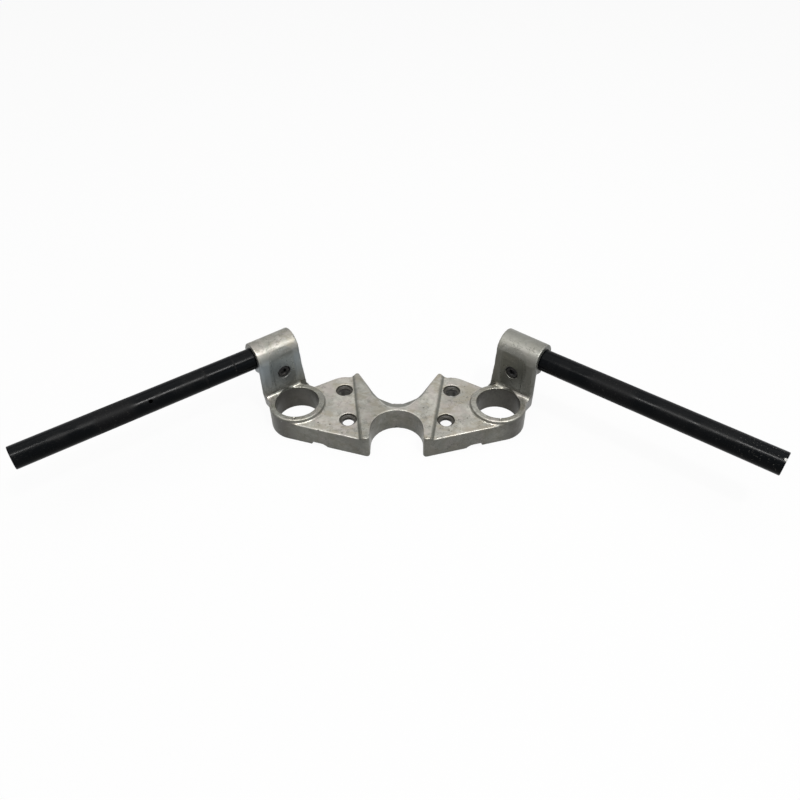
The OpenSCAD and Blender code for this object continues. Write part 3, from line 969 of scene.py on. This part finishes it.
def socket_tool():
    """A hexagon with a wide mouth and a drilled point, to sink in the head."""
    work = bmesh.new()
    rims = [(socket_radius + 0.9, 1.0), (socket_radius, -0.3), (socket_radius, -socket_depth)]
    loops = []
    for radius, height in rims:
        turns = [i * math.pi / 3 for i in range(6)]
        corners = [(radius * math.cos(a), radius * math.sin(a), height) for a in turns]
        loops.append([work.verts.new([size * MM for size in corner]) for corner in corners])
    for upper, lower in zip(loops, loops[1:]):
        for i in range(6):
            j = (i + 1) % 6
            work.faces.new((upper[i], upper[j], lower[j], lower[i]))
    work.faces.new(list(reversed(loops[0])))
    point = work.verts.new((0.0, 0.0, (-socket_depth - 1.4) * MM))
    for i in range(6):
        work.faces.new((loops[-1][i], loops[-1][(i + 1) % 6], point))
    mesh = bpy.data.meshes.new("socket_tool")
    bmesh.ops.recalc_face_normals(work, faces=work.faces)
    work.to_mesh(mesh)
    work.free()
    tool = bpy.data.objects.new("socket_tool", mesh)
    tool.location.z = screw_head_height * MM
    bpy.context.scene.collection.objects.link(tool)
    return tool


# %% [markdown]
# The blank, the knurl and the tool are made once and used for both screws. The knurl's ridges
# are small bodies that overlap the head, which is enough for something 0.2 mm deep: a boolean
# would cut the head into slivers.

# %% Put both screws in
knurl_count = 44
knurl_proud = 0.16
knurl_middle, knurl_long = 3.6, 6.4
knurl = knurl_recipe()
blank = screw_mesh()
tool = socket_tool()


def make_screw(side, matrix):
    screw = bpy.data.objects.new(side + "_screw", blank.copy())
    bpy.context.scene.collection.objects.link(screw)
    sink = screw.modifiers.new("socket", "BOOLEAN")
    sink.operation = "DIFFERENCE"
    sink.solver = "EXACT"
    sink.object = tool
    bake_modifiers(screw)
    rings = knurl.make(side + "_knurl", Matrix.Translation((0, 0, knurl_middle * MM)),
                       Count=knurl_count, Radius=(screw_head_radius - knurl_proud) * MM,
                       Depth=knurl_long * MM, Proud=knurl_proud * MM, Material=screw_finish)
    work = bmesh.new()
    work.from_mesh(screw.data)
    work.from_mesh(rings.data)
    work.to_mesh(screw.data)
    work.free()
    bpy.data.objects.remove(rings)
    screw.data.transform(matrix)
    turned_out(screw.data)
    screw.data.materials.clear()
    screw.data.materials.append(screw_finish)
    screw.data.shade_smooth()
    screw.data.set_sharp_from_angle(angle=math.radians(35))
    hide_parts(side + "_pinch_screw")
    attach(screw, "root")
    print(side, "screw:", len(screw.data.polygons), "faces")


screw_place = placed(along_bar, along_bar.cross(ahead) * -1.0, -ahead,
                     riser_point(screw_along, screw_seat, screw_height))
make_screw("right", screw_place)
make_screw("left", mirror_image @ screw_place)
bpy.data.objects.remove(tool)

# %% [markdown]
# ## Floor and light
# The floor is white to the camera and to reflections, and keeps a soft shadow. To scattered light
# it is a dark grey, so that it doesn't fill the casting's dark sides, and from below it is clear,
# so that the pockets can be looked at.

# %% Lay the floor
floor_half = 12.0
floor_drop = 0.0002


def pale_floor():
    finish = Finish(bpy.data.materials.new("pale_floor"))
    white = finish.node("ShaderNodeBsdfDiffuse", "BSDF", None, {"Color": (0.9, 0.9, 0.9, 1.0)})
    glow = finish.node("ShaderNodeEmission", "Emission", None,
                       {"Color": (1.0, 1.0, 1.0, 1.0), "Strength": 1.0})
    grey = finish.node("ShaderNodeBsdfDiffuse", "BSDF", None, {"Color": (0.14, 0.137, 0.128, 1.0)})
    clear = finish.node("ShaderNodeBsdfTransparent", "BSDF")
    pale = finish.mixed(finish.rays_that_see_white(), grey, finish.mixed(0.94, white, glow))
    seen = finish.node("ShaderNodeLightPath", "Is Camera Ray")
    from_below = finish.node("ShaderNodeNewGeometry", "Backfacing") * seen
    return finish.end(finish.mixed(from_below, pale, clear))


floor_mesh = bpy.data.meshes.new("floor")
corners = [(x * floor_half, y * floor_half, 0) for x, y in ((-1, -1), (1, -1), (1, 1), (-1, 1))]
floor_mesh.from_pydata(corners, [], [(0, 1, 2, 3)])
floor_mesh.materials.append(pale_floor())
floor = bpy.data.objects.new("floor", floor_mesh)
floor.location.z = -floor_drop
bpy.context.scene.collection.objects.link(floor)
print("floor:", 2 * floor_half, "m wide")

# %% [markdown]
# One broad lamp hangs overhead and lights what lies flat, and a small one to the right gives the
# curved metal its highlights. The thin bright lines along the bars need lamps that are long
# and narrow. As one lamp's line only falls on one bar, each bar has its own, and both are hidden
# from scattered light so that the casting keeps its tone.

# %% Hang the lamps
daylight = (1.0, 0.99, 0.97)
sky_blue = (0.6, 0.8, 1.0)
lamp_height = 1.5
on_bridge = (0.0, 0.0, 0.05)


def lamp(name, place, aim, size, watts, colour):
    light = bpy.data.lights.new(name, "AREA")
    light.shape = "RECTANGLE"
    light.size, light.size_y = size
    light.energy = watts
    light.color = colour
    holder = bpy.data.objects.new(name, light)
    holder.location = place
    holder.rotation_euler = (Vector(aim) - Vector(place)).to_track_quat("-Z", "Y").to_euler()
    bpy.context.scene.collection.objects.link(holder)
    print(name, "of", watts, "W")
    return holder


lamp("roof_light", (0.0, -0.1, lamp_height), (0.0, -0.1, 0.0), (2.2, 2.2), 24.0, daylight)
lamp("key_light", (0.45, -0.63, lamp_height), on_bridge, (0.16, 0.16), 8.0, daylight)
for name, across in (("left_gleam", 0.7), ("right_gleam", -0.35)):
    gleam = lamp(name, (across, -0.63, lamp_height), (across, 0.0, 0.05), (0.7, 0.2), 24.0,
                 daylight)
    gleam.visible_diffuse = False
lamp("side_light", (1.3, -0.9, 0.6), on_bridge, (0.6, 0.6), 1.0, sky_blue)

# %% [markdown]
# The room is white where it is seen or mirrored, as the floor is, and gives only a weak light to
# what the lamps don't reach. A bright room would take the shadows away.

# %% Fill the room with a weak grey light
room = bpy.data.worlds.new("room")
bpy.context.scene.world = room
air = Finish(room)
fill = air.node("ShaderNodeBackground", "Background", None,
                {"Color": (0.95, 0.97, 1.0, 1.0), "Strength": 0.06})
backdrop = air.node("ShaderNodeBackground", "Background", None,
                    {"Color": (1.0, 1.0, 1.0, 1.0), "Strength": 1.0})
air.end(air.mixed(air.rays_that_see_white(), fill, backdrop), "World")
print("room:", len(air.tree.nodes), "nodes")
